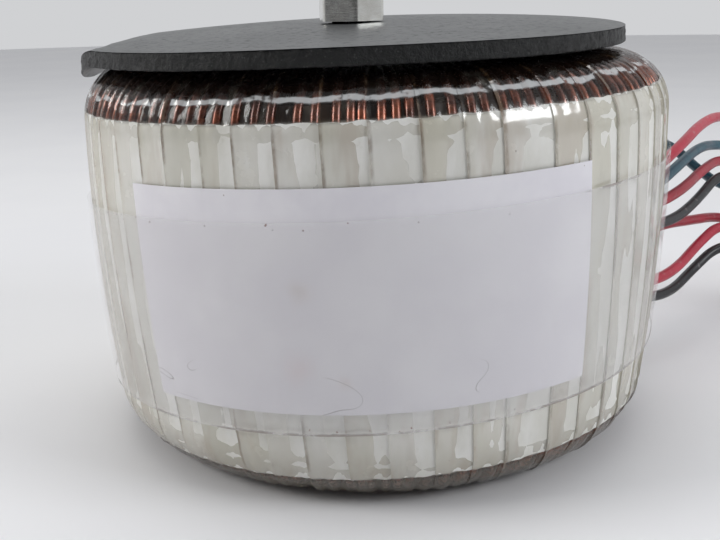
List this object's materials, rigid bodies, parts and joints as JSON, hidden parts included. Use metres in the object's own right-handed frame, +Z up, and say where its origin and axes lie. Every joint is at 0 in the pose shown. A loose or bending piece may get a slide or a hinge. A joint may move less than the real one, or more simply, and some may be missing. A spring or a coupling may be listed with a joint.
{
  "type": "toroidal transformer",
  "caption": "Ring-shaped mains transformer in clear wrap tape, with a blank label, a rubber pad, a hex bolt in the hole and flexible leads.",
  "frame": {"origin": "centre of the foot, on the surface that the body stands on", "axes": "+Z up along the hole's axis, +X to the right of the label, -Y out of the label's face"},
  "size_m": [0.1973, 0.1324, 0.0703],
  "materials": {
    "core_steel": "wound strip, satin",
    "cap_plastic": "moulded, matt",
    "enamelled_copper": "clear enamel over copper",
    "insulation_film": "amber polyester film",
    "white_film": "white backing tape, satin",
    "clear_tape": "clear glossy polyester tape, slightly yellowed",
    "label_paper": "plain white paper, slightly stained",
    "black_rubber": "cut sheet rubber, dusty",
    "zinc_steel": "zinc plated",
    "lead_red": "flexible PVC",
    "lead_black": "flexible PVC",
    "lead_teal": "flexible PVC",
    "lead_dark_red": "flexible PVC",
    "tinned_copper": "tinned strands"
  },
  "bodies": {
    "root": {"core": "core_steel", "core_cap_upper": "cap_plastic", "core_cap_lower": "cap_plastic", "primary_winding_a": "enamelled_copper", "primary_winding_b": "enamelled_copper", "winding_insulation": "insulation_film", "secondary_winding_a": "enamelled_copper", "secondary_winding_b": "enamelled_copper", "white_band": "white_film", "clear_wrap": "clear_tape", "label": "label_paper", "cover_tape": "clear_tape", "rubber_pad": "black_rubber", "bolt": "zinc_steel", "primary_a_start_lead": "lead_red", "primary_a_start_tip": "tinned_copper", "primary_a_end_lead": "lead_black", "primary_a_end_tip": "tinned_copper", "primary_b_start_lead": "lead_red", "primary_b_start_tip": "tinned_copper", "primary_b_end_lead": "lead_black", "primary_b_end_tip": "tinned_copper", "secondary_a_start_lead": "lead_teal", "secondary_a_start_tip": "tinned_copper", "secondary_a_end_lead": "lead_teal", "secondary_a_end_tip": "tinned_copper", "secondary_b_start_lead": "lead_dark_red", "secondary_b_start_tip": "tinned_copper", "secondary_b_end_lead": "lead_dark_red", "secondary_b_end_tip": "tinned_copper"}
  },
  "joints": []
}
